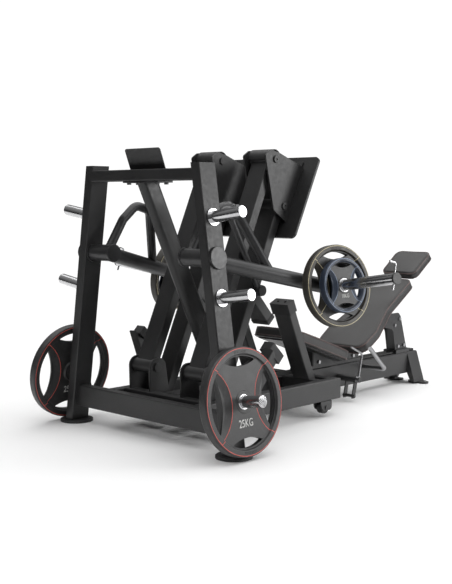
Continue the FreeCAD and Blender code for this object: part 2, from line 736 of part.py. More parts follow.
def pivot_cover(x0, x1):
    """Curved sheet over the rear arm's top barrel."""
    ring = x_rod(x0, x1, REAR_HIGH, 46).cut(x_rod(x0 - 1, x1 + 1, REAR_HIGH, 42))
    middle = V(0, REAR_HIGH[0] + 20, REAR_HIGH[1] + 100)
    keep = bar(middle + V(x0 - 1, 0, 0), middle + V(x1 + 1, 0, 0), 200, 200, 1, side=V(0, 0, 1))
    return max(ring.common(keep).Solids, key=lambda s: s.Volume)


# ---- weight lever -------------------------------------------------------------------
def lever_hub():
    z = LEVER_PIVOT_Z
    hub = x_rod(HUB_X[0], HUB_X[1], (0, z), HUB_R)
    disc = x_rod(HUB_X[0] - 7, HUB_X[0] + 4, (0, z), HUB_R + 3)
    disc = disc.makeFillet(2.5, [disc.Edges[2]])
    hub = hub.fuse(disc)
    return hub.cut(x_rod(HUB_X[0] - 4.5, HUB_X[1] + 1, (0, z), AXLE_R + RUNNING))


def lever_arm():
    """Round main tube from the hub out past the plate horn."""
    axis = (LEVER_END - LEVER_ROOT).normalize()
    outer = rod(LEVER_ROOT, LEVER_END, LEVER_R)
    core = rod(LEVER_ROOT - axis, LEVER_END - axis * 6, LEVER_R - 3.5)
    hub = x_rod(HUB_X[0] - 60, HUB_X[1] + 60, (0, LEVER_PIVOT_Z), HUB_R)
    return max(outer.cut(core).cut(hub).Solids, key=lambda s: s.Volume)


ARCH_FOOT = LEVER_ROOT + (LEVER_END - LEVER_ROOT) * 0.53


def arch_route():
    """Centre line of the arch: up from the hub, over the top and down to the main tube."""
    return [V(ARCH_X, 6, LEVER_PIVOT_Z + 10), V(ARCH_X, 96, 962), V(ARCH_X, 176, 1028),
            V(ARCH_X + 2, 262, 1004), ARCH_FOOT]


def arch_tube():
    arch = bent_rod(arch_route(), 52, ARCH_R).cut(bent_rod(arch_route(), 52, ARCH_R - 3))
    hub = x_rod(HUB_X[0], HUB_X[1], (0, LEVER_PIVOT_Z), HUB_R)
    arch = arch.cut(hub).cut(rod(LEVER_ROOT, LEVER_END, LEVER_R))
    return max(arch.Solids, key=lambda s: s.Volume)


def link_top_pin():
    """Pin of the link's upper eye, with its boss, washer and outer head."""
    inner, outer = LINK_X - LINK_EYE_HALF - 0.5, LINK_X + LINK_EYE_HALF + 0.5
    head = ARCH_X + ARCH_R - 1
    pin = x_rod(inner - 2, head + 2, LINK_TOP, LINK_PIN_R)
    rings = [x_rod(inner - 6, inner, LINK_TOP, 17), x_rod(outer, ARCH_X, LINK_TOP, 17),
             x_rod(head, head + 6, LINK_TOP, 14)]
    return pin.fuse(rings).removeSplitter()


def lever():
    """Hub, main tube, arch and the link's upper pin, welded together."""
    pin = link_top_pin()
    arch = max(arch_tube().cut(pin).Solids, key=lambda s: s.Volume)
    return group(lever_hub(), lever_arm(), arch, pin)


def lever_horn():
    """Chrome plate horn with its flange against the side of the main tube."""
    horn = rod(horn_point(HORN_START), horn_point(HORN_TIP), HORN_R)
    flange = rod(horn_point(HORN_FLANGE), horn_point(HORN_FLANGE + 6), 40)
    horn = horn.fuse(flange).cut(rod(LEVER_ROOT, LEVER_END, LEVER_R))
    horn = horn.cut(rod(pin_point(-60), pin_point(60), HORN_PIN_R + 0.25))
    return group(max(horn.Solids, key=lambda s: s.Volume), horn_cap())


def horn_cap():
    """Black moulded end cap of the plate horn."""
    cap = rod(horn_point(HORN_TIP), horn_point(HORN_TIP + 8), HORN_R + 1)
    rim = [e for e in cap.Edges if (e.CenterOfMass - horn_point(HORN_TIP + 8)).Length < 1]
    return cap.makeFillet(2.5, rim)


def pin_axis():
    """Direction of the locking pin, square to the horn and leaning towards the seat."""
    side = V(0, 0, 1).cross(HORN_DIR).normalize()
    up = HORN_DIR.cross(side).normalize()
    return up * math.cos(HORN_PIN_LEAN) + side * math.sin(HORN_PIN_LEAN)


def pin_point(along):
    return horn_point(HORN_PIN_AT) + pin_axis() * along


def horn_pin():
    """Cross pin with a bent handle on top that keeps plates on the horn."""
    side = pin_axis().cross(HORN_DIR).normalize()
    bend = pin_point(70)
    route = [pin_point(-48), bend, bend - side * 34]
    return bent_rod(route, 8, HORN_PIN_R)


# ---- link rod -----------------------------------------------------------------------
def link_rod():
    top, foot = yz(LINK_TOP, LINK_X), yz(LINK_FOOT, LINK_X)
    outer = rod(top, foot, LINK_R)
    eyes = []
    for pivot, play in ((LINK_TOP, RUNNING), (LINK_FOOT, LINK_PLAY)):
        sleeve = x_rod(LINK_X - LINK_EYE_HALF, LINK_X + LINK_EYE_HALF, pivot, LINK_EYE_R)
        outer = outer.cut(sleeve)
        eyes.append((sleeve, x_rod(LINK_X - 20, LINK_X + 20, pivot, LINK_PIN_R + play)))
    link = max(outer.Solids, key=lambda s: s.Volume)
    for sleeve, hole in eyes:
        link = link.fuse(sleeve).cut(hole)
    return link.removeSplitter()


# ---- seat ---------------------------------------------------------------------------
def direction(low, high):
    return V(0, high[0] - low[0], high[1] - low[1]).normalize()


def pad(low, high, side, corners, thickness, edge):
    """Upholstered pad from its right-hand outline, given as (share of length, half width)."""
    along = V(0, high[0] - low[0], high[1] - low[1])
    behind = V(0, along.z, -along.y).normalize()
    if behind.z > 0:
        behind = behind * -1
    a = V(0, *low)
    right = [a + along * share + V(half, 0, 0) for share, half in side]
    left = [a + along * share - V(half, 0, 0) for share, half in side[::-1]]
    radii = list(corners) + list(corners[::-1])
    body = Part.Face(rounded_outline(right + left, radii)).extrude(behind * thickness)
    rim = [e for e in body.Edges if abs((e.CenterOfMass - a).dot(behind)) < 0.5]
    return body.makeFillet(edge, rim)


def seat_pad():
    side = [(0.0, SEAT_HALF - 6), (0.5, SEAT_HALF), (1.0, SEAT_HALF - 8)]
    return pad(SEAT_REAR, SEAT_FRONT, side, (62, 900, 62), SEAT_T, 16)


def back_pad():
    """Wide at the hips, drawn in to the shoulders with a soft curve on each side."""
    hips, shoulders = BACK_HALF
    side = [(0.0, hips - 8), (0.24, hips), (0.56, shoulders), (1.0, shoulders - 2)]
    return pad(BACK_LOW, BACK_HIGH, side, (58, 140, 220, 42), BACK_T, 14)


def head_pad():
    side = [(0.0, HEAD_HALF - 4), (1.0, HEAD_HALF)]
    return pad(HEAD_LOW, HEAD_HIGH, side, (40, 40), HEAD_T, 14)


SEAT_ALONG = direction(SEAT_REAR, SEAT_FRONT)
SEAT_UNDER = V(0, -SEAT_ALONG.z, SEAT_ALONG.y)
BACK_ALONG = direction(BACK_LOW, BACK_HIGH)
BACK_BEHIND = V(0, BACK_ALONG.z, -BACK_ALONG.y)
HEAD_ALONG = direction(HEAD_LOW, HEAD_HIGH)
HEAD_BEHIND = V(0, HEAD_ALONG.z, -HEAD_ALONG.y)
RAIL_TOP = SEAT_BEAM_Z[1] + RAIL_H
SHOE_BOTTOM = SEAT_BEAM_Z[1] + 1.0     # sliding parts reach down beside the rail


def half_space(low, high, behind, depth):
    """Big block on the front side of a plane lying depth behind the line low-high."""
    along = (high - low).normalize()
    shift = behind * (depth - 300)
    return bar(low - along * 600 + shift, high + along * 600 + shift, 800, 600, 1)


def seat_carriage():
    """Saddle on the rail, seat column and the steel sheets under the three pads."""
    top = RAIL_TOP + 6
    saddle = box(-42, 42, 1080, 1530, SHOE_BOTTOM, top)
    saddle = saddle.cut(box(-30.3, 30.3, 1060, 1540, 100, RAIL_TOP + 0.3))

    rear = V(0, *SEAT_REAR) + SEAT_ALONG * 40 + SEAT_UNDER * (SEAT_T + 0.3)
    front = V(0, *SEAT_FRONT) - SEAT_ALONG * 40 + SEAT_UNDER * (SEAT_T + 0.3)
    seat_sheet = bar(rear + SEAT_UNDER * 3, front + SEAT_UNDER * 3, 250, 6, 1)
    column = bar(V(0, 1170, top), V(0, 1170, top + 250), 108, 180, 14)
    column = column.cut(half_space(rear, front, SEAT_UNDER, 6.0))

    low = V(0, *BACK_LOW) + BACK_ALONG * 60 + BACK_BEHIND * (BACK_T + 0.3)
    high = V(0, *BACK_HIGH) - BACK_ALONG * 30 + BACK_BEHIND * (BACK_T + 0.3)
    back_sheet = bar(low + BACK_BEHIND * 3, high + BACK_BEHIND * 3, 150, 6, 1)
    cheeks = []
    for x in (-36, 30):
        cheek = slab([(1330, top), (1490, top), (1590, 360), (1540, 380)], 4, x, x + 6)
        cheeks.append(cheek.cut(half_space(low, high, BACK_BEHIND, 6.0)))

    head_low = V(0, *HEAD_LOW) + HEAD_BEHIND * (HEAD_T + 0.3) + HEAD_ALONG * 20
    head_high = V(0, *HEAD_HIGH) + HEAD_BEHIND * (HEAD_T + 0.3) - HEAD_ALONG * 50
    head_sheet = bar(head_low + HEAD_BEHIND * 3, head_high + HEAD_BEHIND * 3, 130, 6, 1)
    neck = bar(high - BACK_ALONG * 60 + BACK_BEHIND * 11, head_low + HEAD_ALONG * 60
               + HEAD_BEHIND * 11, 60, 16, 1)
    neck = neck.cut(half_space(low, high, BACK_BEHIND, 6.0))
    neck = neck.cut(half_space(head_low, head_high, HEAD_BEHIND, 6.0))
    return group(saddle, column, seat_sheet, back_sheet, head_sheet, neck, *cheeks)


def back_bracket():
    """Upright box that carries the back pad's sheet on a rail shoe."""
    outline = [(1855, RAIL_TOP + 8), (1968, RAIL_TOP + 8), (1905, 392), (1884, 412), (1690, 412),
               (1640, 370), (1832, 318)]
    radii = [4, 6, 16, 14, 5, 5, 30]
    front_side = half_space(V(0, *BACK_LOW), V(0, *BACK_HIGH), BACK_BEHIND, BACK_T + 6.6)
    pieces = []
    for x in (-30, 24):
        plate = slab(outline, radii, x, x + 6).cut(front_side)
        pieces.append(max(plate.Solids, key=lambda s: s.Volume))
    shoe = box(-44, 44, 1846, 1976, SHOE_BOTTOM, RAIL_TOP + 8)
    web = bar(V(0, 1860, RAIL_TOP + 4), V(0, 1838, 330), 48, 6, 1).cut(shoe)
    pieces.append(max(web.Solids, key=lambda s: s.Volume))
    pieces.append(shoe.cut(box(-30.3, 30.3, 1840, 1980, 100, RAIL_TOP + 0.3)))
    return group(*pieces)


def bracket_bolts():
    """Bolt heads on the bracket's cheeks, the back frame's cheeks and the seat column."""
    heads = []
    for x, y, z in ((30, 1893, 376), (30, 1846, 343), (30, 1936, 222), (30, 1880, 220),
                    (36, 1446, 214), (54, 1130, 216)):
        head = hex_head(V(x, y, z), V(1, 0, 0), 17, 8)
        heads += [head, mirrored(head)]
    return group(*heads)


def hand_grip():
    """Bent tube from the side of the seat beam outwards and up beside the seat."""
    points = [V(SEAT_BEAM_HALF, 1512, 150), V(204, 1512, 150), V(204, 1371, 277)]
    return bent_rod(points, 24, 12)


def release_lever():
    """Bent chrome lever on the right, turning on the end of the adjuster shaft."""
    hub = x_rod(176.4, 191.6, ADJUSTER, 17)
    arm = bent_rod([V(184, 1232, 297), V(184, 1329, 251), V(184, *ADJUSTER)], 14, 6)
    return arm.fuse(hub).removeSplitter().cut(x_rod(170, 200, ADJUSTER, 10 + RUNNING))


# ---- every node, with the sides made by mirroring -----------------------------------
SINGLE = {
    "rear_frame": rear_frame,
    "rear_feet": rear_feet,
    "base_frame": base_frame,
    "seat_beam": seat_beam,
    "slide_rail": slide_rail,
    "floor_feet": floor_feet,
    "centre_strut": centre_strut,
    "placard": placard,
    "frame_bolts": frame_bolts,
    "seat_carriage": seat_carriage,
    "back_bracket": back_bracket,
    "bracket_bolts": bracket_bolts,
    "seat_pad": seat_pad,
    "back_pad": back_pad,
    "head_pad": head_pad,
    "release_lever": release_lever,
}
PAIRED = {
    "lever_axle": lever_axle,
    "arm_mount": arm_mount,
    "arm_pins": arm_pins,
    "stop_post": stop_post,
    "lever_stop": lever_stop,
    "frame_rubbers": frame_rubbers,
    "storage_horns": storage_horns,
    "wheel_fork": wheel_fork,
    "transport_wheel": transport_wheel,
    "hand_grip": hand_grip,
    "storage_plate": storage_plate,
    "rear_arm": rear_arm,
    "front_arm": front_arm,
    "buffer_pad": buffer_pad,
    "plate_bracket": plate_bracket,
    "foot_plate": foot_plate,
    "lever": lever,
    "lever_horn": lever_horn,
    "link_rod": link_rod,
    "horn_pin": horn_pin,
    "lever_plate_large": lever_plate_large,
    "lever_plate_small": lever_plate_small,
}


def save(name, shape):
    shape = shape.copy()
    shape.translate(V(0, -ORIGIN_Y, 0))
    shape.exportStep(os.path.join("parts", name + ".step"))


def main():
    os.makedirs("parts", exist_ok=True)
    for name, build in SINGLE.items():
        save(name, build())
    for name, build in PAIRED.items():
        shape = build()
        save(name + "_right", shape)
        save(name + "_left", mirrored(shape))


main()
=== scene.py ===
"""Looks of the plate-loaded leg press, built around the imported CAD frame."""
import json
import math

import bmesh
import bpy
from mathutils import Matrix, Vector
from mathutils.bvhtree import BVHTree


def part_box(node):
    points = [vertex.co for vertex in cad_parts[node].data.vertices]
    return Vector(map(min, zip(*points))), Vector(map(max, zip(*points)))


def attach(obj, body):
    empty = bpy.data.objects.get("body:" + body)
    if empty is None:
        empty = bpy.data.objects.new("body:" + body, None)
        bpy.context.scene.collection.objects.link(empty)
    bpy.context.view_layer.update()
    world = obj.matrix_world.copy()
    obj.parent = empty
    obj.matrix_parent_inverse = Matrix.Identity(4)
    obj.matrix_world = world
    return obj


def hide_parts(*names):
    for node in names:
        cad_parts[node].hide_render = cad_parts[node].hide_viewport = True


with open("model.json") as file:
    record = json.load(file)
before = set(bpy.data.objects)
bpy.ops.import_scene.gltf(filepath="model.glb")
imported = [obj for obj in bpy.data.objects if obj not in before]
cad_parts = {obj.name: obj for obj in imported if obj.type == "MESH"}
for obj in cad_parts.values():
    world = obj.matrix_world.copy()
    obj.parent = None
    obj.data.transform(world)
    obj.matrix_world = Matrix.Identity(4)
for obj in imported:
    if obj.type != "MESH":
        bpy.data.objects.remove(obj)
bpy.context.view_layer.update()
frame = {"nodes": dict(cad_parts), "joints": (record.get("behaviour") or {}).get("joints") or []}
NODES = frame["nodes"]
JOINTS = {j["name"]: j for j in frame["joints"]}
SIDES = ("right", "left")


# ---- camera -------------------------------------------------------------------------
def make_camera():
    data = bpy.data.cameras.new("camera")
    data.sensor_width = 36.0
    data.lens = 63.365
    data.clip_end = 200.0
    camera = bpy.data.objects.new("camera", data)
    camera.location = (3.3657, -3.9479, 1.0505)
    camera.rotation_euler = (math.radians(90 - 5.0875), 0, math.radians(43.876))
    bpy.context.scene.collection.objects.link(camera)
    bpy.context.scene.camera = camera


# ---- materials ----------------------------------------------------------------------
class Shader:
    """Small helper around one material's node tree."""

    def __init__(self, name):
        self.material = bpy.data.materials.new(name)
        self.material.use_nodes = True
        self.tree = self.material.node_tree
        self.bsdf = self.tree.nodes["Principled BSDF"]
        coords = self.tree.nodes.new("ShaderNodeTexCoord")
        self.place = coords.outputs["Object"]

    def node(self, kind, **inputs):
        made = self.tree.nodes.new(kind)
        for key, value in inputs.items():
            self.feed(made.inputs[key.replace("_", " ")], value)
        return made

    def feed(self, socket, value):
        if isinstance(value, bpy.types.NodeSocket):
            self.tree.links.new(value, socket)
        else:
            socket.default_value = value

    def noise(self, scale, detail=3.0, rough=0.5, stretch=None):
        place = self.place
        if stretch:
            mapping = self.node("ShaderNodeMapping", Vector=place)
            mapping.inputs["Scale"].default_value = stretch
            place = mapping.outputs["Vector"]
        return self.node("ShaderNodeTexNoise", Vector=place, Scale=scale, Detail=detail,
                         Roughness=rough).outputs["Fac"]

    def cells(self, scale, feature="F1"):
        made = self.node("ShaderNodeTexVoronoi", Vector=self.place, Scale=scale)
        made.feature = feature
        return made.outputs["Distance"]

    def spread(self, value, low, high, to_low, to_high):
        made = self.node("ShaderNodeMapRange", Value=value)
        for key, number in (("From Min", low), ("From Max", high), ("To Min", to_low),
                            ("To Max", to_high)):
            made.inputs[key].default_value = number
        return made.outputs["Result"]

    def mix(self, factor, first, second):
        made = self.node("ShaderNodeMix")
        made.data_type = "RGBA"
        self.feed(made.inputs["Factor"], factor)
        self.feed(made.inputs["A"], (*first, 1.0) if isinstance(first, tuple) else first)
        self.feed(made.inputs["B"], (*second, 1.0) if isinstance(second, tuple) else second)
        return made.outputs["Result"]

    def bump(self, height, strength, distance, under=None):
        made = self.node("ShaderNodeBump", Height=height, Strength=strength, Distance=distance)
        if under:
            self.feed(made.inputs["Normal"], under)
        return made.outputs["Normal"]

    def softened_edges(self, radius):
        made = self.node("ShaderNodeBevel", Radius=radius)
        made.samples = 4
        return made.outputs["Normal"]

    def wear_and_highlight_edges(self, radius):
        """About 0 on open surfaces and 1 on convex edges."""
        round_normal = self.softened_edges(radius)
        flat = self.node("ShaderNodeNewGeometry").outputs["Normal"]
        dot = self.node("ShaderNodeVectorMath")
        dot.operation = "DOT_PRODUCT"
        self.feed(dot.inputs[0], round_normal)
        self.feed(dot.inputs[1], flat)
        return self.spread(dot.outputs["Value"], 0.97, 0.80, 0.0, 1.0)


def powder_coat(name, color, rough=0.42, metallic=0.0, edge_wear_and_highlight=(0.10, 0.10, 0.10), edge=0.0012):
    """Fine-textured powder coat: orange peel, slight blotches and paler edges, partly rubbed wear and
    partly a painted highlight.
    """
    s = Shader(name)
    blotch = s.noise(5.0, 4.0)
    dust = s.noise(60.0, 5.0, 0.65)
    light = tuple(c * 1.35 + 0.002 for c in color)
    base = s.mix(s.spread(blotch, 0.35, 0.65, 0.0, 1.0), color, light)
    base = s.mix(s.spread(dust, 0.45, 0.8, 0.0, 0.35), base, tuple(c * 1.7 + 0.004 for c in color))
    # Paler convex edges: partly rubbed wear, partly a painted highlight of light caught on the edge.
    wear_and_highlight_share = s.node("ShaderNodeMath", Value=s.wear_and_highlight_edges(edge))
    wear_and_highlight_share.operation = "MULTIPLY"
    s.feed(wear_and_highlight_share.inputs[1], s.spread(dust, 0.35, 0.6, 0.15, 0.7))
    base = s.mix(wear_and_highlight_share.outputs["Value"], base, edge_wear_and_highlight)
    s.feed(s.bsdf.inputs["Base Color"], base)
    s.bsdf.inputs["Metallic"].default_value = metallic
    s.feed(s.bsdf.inputs["Roughness"], s.spread(dust, 0.3, 0.7, rough - 0.05, rough + 0.08))
    peel = s.bump(s.noise(520.0, 2.0), 0.25, 0.0004, s.softened_edges(edge))
    s.feed(s.bsdf.inputs["Normal"], s.bump(s.noise(1500.0, 1.0), 0.12, 0.0002, peel))
    return s.material


def chrome(name, color=(0.62, 0.62, 0.63), rough=0.13):
    """Hard chrome with faint turning marks and finger smears."""
    s = Shader(name)
    smear = s.noise(14.0, 5.0, 0.6)
    s.feed(s.bsdf.inputs["Base Color"], s.mix(s.spread(smear, 0.3, 0.7, 0.0, 1.0), color,
                                              tuple(c * 0.86 for c in color)))
    s.bsdf.inputs["Metallic"].default_value = 1.0
    s.feed(s.bsdf.inputs["Roughness"], s.spread(smear, 0.35, 0.75, rough, rough + 0.14))
    marks = s.noise(900.0, 2.0, stretch=(1.0, 0.06, 0.06))
    s.feed(s.bsdf.inputs["Normal"], s.bump(marks, 0.06, 0.0002, s.softened_edges(0.0010)))
    return s.material


def rubber(name, color=(0.018, 0.018, 0.019), rough=0.62, grain=700.0):
    """Moulded rubber with a pebbled skin and pale scuffs."""
    s = Shader(name)
    scuff = s.noise(35.0, 6.0, 0.7)
    base = s.mix(s.spread(scuff, 0.5, 0.85, 0.0, 0.6), color, tuple(c * 2.6 + 0.01 for c in color))
    s.feed(s.bsdf.inputs["Base Color"], base)
    s.feed(s.bsdf.inputs["Roughness"], s.spread(scuff, 0.3, 0.8, rough - 0.08, rough + 0.12))
    pebble = s.bump(s.cells(grain), 0.22, 0.0005, s.softened_edges(0.0015))
    s.feed(s.bsdf.inputs["Normal"], pebble)
    return s.material


def leather(name, color, rough=0.43):
    """Upholstery leather: closed pebble grain, pores and soft creases."""
    s = Shader(name)
    cloud = s.noise(7.0, 4.0)
    pores = s.cells(420.0, "DISTANCE_TO_EDGE")
    base = s.mix(s.spread(cloud, 0.3, 0.7, 0.0, 1.0), color, tuple(c * 1.5 for c in color))
    base = s.mix(s.spread(pores, 0.0, 0.22, 0.75, 0.0), base, tuple(c * 0.45 for c in color))
    s.feed(s.bsdf.inputs["Base Color"], base)
    s.feed(s.bsdf.inputs["Roughness"], s.spread(cloud, 0.3, 0.7, rough - 0.05, rough + 0.09))
    s.bsdf.inputs["Sheen Weight"].default_value = 0.12
    creases = s.bump(s.noise(38.0, 5.0, 0.6), 0.16, 0.0015)
    grain = s.bump(s.spread(pores, 0.0, 0.35, 0.0, 1.0), 0.35, 0.0004, creases)
    s.feed(s.bsdf.inputs["Normal"], s.bump(s.noise(1900.0, 1.0), 0.10, 0.0001, grain))
    return s.material


def enamel(name, color, rough=0.38):
    """Brush-filled paint line, slightly uneven."""
    s = Shader(name)
    uneven = s.noise(110.0, 4.0)
    s.feed(s.bsdf.inputs["Base Color"], s.mix(s.spread(uneven, 0.35, 0.7, 0.0, 1.0), color,
                                              tuple(c * 0.72 for c in color)))
    s.feed(s.bsdf.inputs["Roughness"], s.spread(uneven, 0.3, 0.7, rough, rough + 0.15))
    s.feed(s.bsdf.inputs["Normal"], s.bump(s.noise(600.0, 2.0), 0.15, 0.0002))
    return s.material


def brushed_steel(name, color=(0.42, 0.42, 0.43), rough=0.32):
    """Zinc-plated fastener steel."""
    s = Shader(name)
    grain = s.noise(240.0, 3.0, stretch=(1.0, 1.0, 6.0))
    s.feed(s.bsdf.inputs["Base Color"], s.mix(s.spread(grain, 0.3, 0.7, 0.0, 1.0), color,
                                              tuple(c * 0.7 for c in color)))
    s.bsdf.inputs["Metallic"].default_value = 1.0
    s.feed(s.bsdf.inputs["Roughness"], s.spread(grain, 0.3, 0.7, rough - 0.06, rough + 0.12))
    s.feed(s.bsdf.inputs["Normal"], s.bump(grain, 0.12, 0.0003, s.softened_edges(0.0008)))
    return s.material


# The last colour given to a powder coat is its paler edge colour, partly rubbed wear and partly a
# painted highlight.
MATERIALS = {
    "frame": powder_coat("black powder coat", (0.019, 0.019, 0.0195)),
    "lever": powder_coat("gunmetal coat", (0.040, 0.040, 0.041), 0.34, 0.45, (0.16, 0.16, 0.16)),
    "axle": powder_coat("satin black", (0.028, 0.028, 0.029), 0.34, 0.2),
    "chrome": chrome("hard chrome"),
    "satin": brushed_steel("satin chrome", (0.40, 0.40, 0.41), 0.30),
    "steel": brushed_steel("zinc steel"),
    # The rail's pale edge colour is a painted highlight along its edges.
    "rail": powder_coat("black rail", (0.014, 0.014, 0.014), 0.22, 0.3, (0.30, 0.30, 0.30)),
    "rubber": rubber("black rubber"),
    "tread": rubber("tread rubber", (0.022, 0.022, 0.023), 0.7, 420.0),
    "leather": leather("dark leather", (0.018, 0.0165, 0.0165)),
    "piping": leather("brown piping", (0.075, 0.040, 0.036), 0.36),
    "thread": enamel("seam thread", (0.05, 0.028, 0.024), 0.7),
    "plate": rubber("plate coat", (0.024, 0.024, 0.0245), 0.40, 900.0),
    "plate_warm": rubber("warm plate coat", (0.036, 0.032, 0.026), 0.42, 900.0),
    "plate_blue": rubber("blue plate coat", (0.030, 0.040, 0.062), 0.36, 900.0),
    "red": enamel("red line", (0.70, 0.11, 0.085)),
    "cream": enamel("cream line", (0.70, 0.62, 0.40)),
    "blue": enamel("blue line", (0.30, 0.37, 0.50)),
    "white": enamel("raised number", (0.62, 0.62, 0.60)),
    "cap": rubber("moulded cap", (0.020, 0.020, 0.020), 0.40, 1500.0),
}
NODE_LOOKS = {
    "frame": ["rear_frame", "base_frame", "seat_beam", "centre_strut", "placard", "seat_carriage",
              "back_bracket", "arm_mount", "stop_post", "lever_stop", "wheel_fork", "rear_arm",
              "front_arm", "plate_bracket", "floor_feet", "foot_plate"],
    "lever": ["lever", "link_rod"],
    "axle": ["arm_pins", "lever_axle"],
    "chrome": ["storage_horns", "lever_horn", "horn_pin"],
    "satin": ["release_lever", "hand_grip"],
    "rail": ["slide_rail"],
    "steel": ["frame_bolts", "bracket_bolts"],
    "rubber": ["rear_feet", "frame_rubbers", "buffer_pad", "transport_wheel"],
    "plate": ["storage_plate", "lever_plate_large", "lever_plate_small"],
}


def node_names(stem):
    """The CAD nodes of a stem: the single one, or the right and left ones."""
    return [n for n in (stem, stem + "_right", stem + "_left") if n in NODES]


def paint_nodes():
    for look, stems in NODE_LOOKS.items():
        for stem in stems:
            for name in node_names(stem):
                slots = NODES[name].data.materials
                slots.clear()
                slots.append(MATERIALS[look])


def repaint(name, look, chosen):
    """Gives the polygons of a CAD node that chosen() picks another material."""
    mesh = NODES[name].data
    mesh.materials.append(MATERIALS[look])
    index = len(mesh.materials) - 1
    for polygon in mesh.polygons:
        if chosen(polygon):
            polygon.material_index = index


# ---- mesh helpers -------------------------------------------------------------------
def new_object(name, mesh, look, body):
    piece = bpy.data.objects.new(name, mesh)
    bpy.context.scene.collection.objects.link(piece)
    mesh.materials.clear()
    mesh.materials.append(MATERIALS[look])
    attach(piece, body)
    return piece


def finish_mesh(bm, name, smooth=True):
    mesh = bpy.data.meshes.new(name)
    bmesh.ops.recalc_face_normals(bm, faces=bm.faces)
    bm.to_mesh(mesh)
    bm.free()
    for polygon in mesh.polygons:
        polygon.use_smooth = smooth
    return mesh


def add_tube(bm, points, radius, closed=False, sides=10, flatten=1.0, flat_axis=None):
    """Sweeps a round or flattened section along points, into bm."""
    count = len(points)
    rings = []
    side = None
    for i, point in enumerate(points):
        ahead = points[(i + 1) % count] if closed or i + 1 < count else points[i]
        behind = points[i - 1] if closed or i > 0 else points[i]
        along = (ahead - behind).normalized()
        if flat_axis is not None:
            up = flat_axis
        else:
            up = side if side is not None else along.orthogonal()
        across = along.cross(up).normalized()
        up = across.cross(along).normalized()
        side = up
        ring = []
        for k in range(sides):
            angle = 2 * math.pi * k / sides
            offset = across * (math.cos(angle) * radius) + up * (math.sin(angle) * radius * flatten)
            ring.append(bm.verts.new(point + offset))
        rings.append(ring)
    spans = count if closed else count - 1
    for i in range(spans):
        a, b = rings[i], rings[(i + 1) % count]
        for k in range(sides):
            bm.faces.new((a[k], a[(k + 1) % sides], b[(k + 1) % sides], b[k]))
    if not closed:
        bm.faces.new(rings[0][::-1])
        bm.faces.new(rings[-1])


def add_box(bm, centre, x_axis, y_axis, z_axis, size, bevel=0.0):
    """Box with its axes and full sizes given, bevelled."""
    made = bmesh.ops.create_cube(bm, size=1.0)
    turn = Matrix((x_axis * size[0], y_axis * size[1], z_axis * size[2])).transposed().to_4x4()
    bmesh.ops.transform(bm, matrix=Matrix.Translation(centre) @ turn, verts=made["verts"])
    if bevel:
        edges = list({e for v in made["verts"] for e in v.link_edges})
        bmesh.ops.bevel(bm, geom=edges, offset=bevel, segments=2, profile=0.5, affect="EDGES")


# ---- pads ---------------------------------------------------------------------------
class PadPlane:
    """The pad's own plane, read from its CAD solid: front normal, outline and thickness."""

    def __init__(self, node):
        mesh = NODES[node].data
        self.normal = max(mesh.polygons, key=lambda p: p.area if p.normal.z > 0.3 else 0).normal.copy()
        self.right = Vector((1, 0, 0))
        self.up = self.normal.cross(self.right).normalized()
        depth = [v.co.dot(self.normal) for v in mesh.vertices]
        self.back, self.front = min(depth), max(depth)
        flat = [(v.co.dot(self.right), v.co.dot(self.up)) for v in mesh.vertices
                if v.co.dot(self.normal) < self.back + 0.0008]
        centre = Vector((0.0, sum(y for _, y in flat) / len(flat)))
        flat.sort(key=lambda p: math.atan2(p[1] - centre.y, p[0] - centre.x))
        self.outline = self.resample(flat, 0.006)
        middle = Vector((sum(p.x for p in self.outline), sum(p.y for p in self.outline)))
        self.middle = middle / len(self.outline)

    @staticmethod
    def resample(points, step):
        """Evenly spaced points along a closed polygon."""
        points = [Vector(p) for p in points]
        lengths = [(points[(i + 1) % len(points)] - p).length for i, p in enumerate(points)]
        total = sum(lengths)
        count = int(total / step)
        made, i, passed = [], 0, 0.0
        for k in range(count):
            goal = total * k / count
            while passed + lengths[i] < goal:
                passed += lengths[i]
                i += 1
            share = (goal - passed) / max(lengths[i], 1e-9)
            made.append(points[i].lerp(points[(i + 1) % len(points)], share))
        return made

    def loop(self, inset, height):
        """Outline moved inwards, as points at a height above the back face."""
        count = len(self.outline)
        made = []
        for i, p in enumerate(self.outline):
            along = self.outline[(i + 2) % count] - self.outline[i - 2]
            inwards = Vector((-along.y, along.x)).normalized()
            if inwards.dot(self.middle - p) < 0:
                inwards = -inwards
            q = p + inwards * inset
            made.append(self.right * q.x + self.up * q.y + self.normal * (self.back + height))
        return made


VOXEL = 0.0065                        # metres, like the other pad sizes
SIM_FRAMES = 16
PRESSURE = 5.0
SHRINK = 0.005                        # how much smaller than its CAD solid the pad is
SWELL_CAP = 0.014                     # furthest that the cloth run may move a point
HOLD_SHARE = 0.35                     # share of the thickness, from the back, that is held
CROWN = 0.0045
OVER_FRONT = 0.010                    # furthest past the CAD pad's front
SEAM_DEPTH = 0.010                    # upper piping, below the front
STITCH_INSET = 0.018
THREAD_R = 0.0007


def simulate(piece):
    """Positions after a cloth run. Measured: it moves no point, so it adds nothing yet."""
    cloth = piece.modifiers.new("cloth", "CLOTH")
    settings = cloth.settings
    settings.use_pressure = True
    settings.uniform_pressure_force = PRESSURE
    settings.effector_weights.gravity = 0.0
    settings.tension_stiffness = 25.0
    settings.compression_stiffness = 25.0
    settings.shear_stiffness = 12.0
    settings.bending_stiffness = 4.0
    settings.quality = 4
    scene = bpy.context.scene
    scene.frame_start = 1
    scene.frame_end = SIM_FRAMES
    for step in range(1, SIM_FRAMES + 1):
        scene.frame_set(step)
    graph = bpy.context.evaluated_depsgraph_get()
    moved = [v.co.copy() for v in piece.evaluated_get(graph).data.vertices]
    piece.modifiers.clear()
    scene.frame_set(1)
    return moved


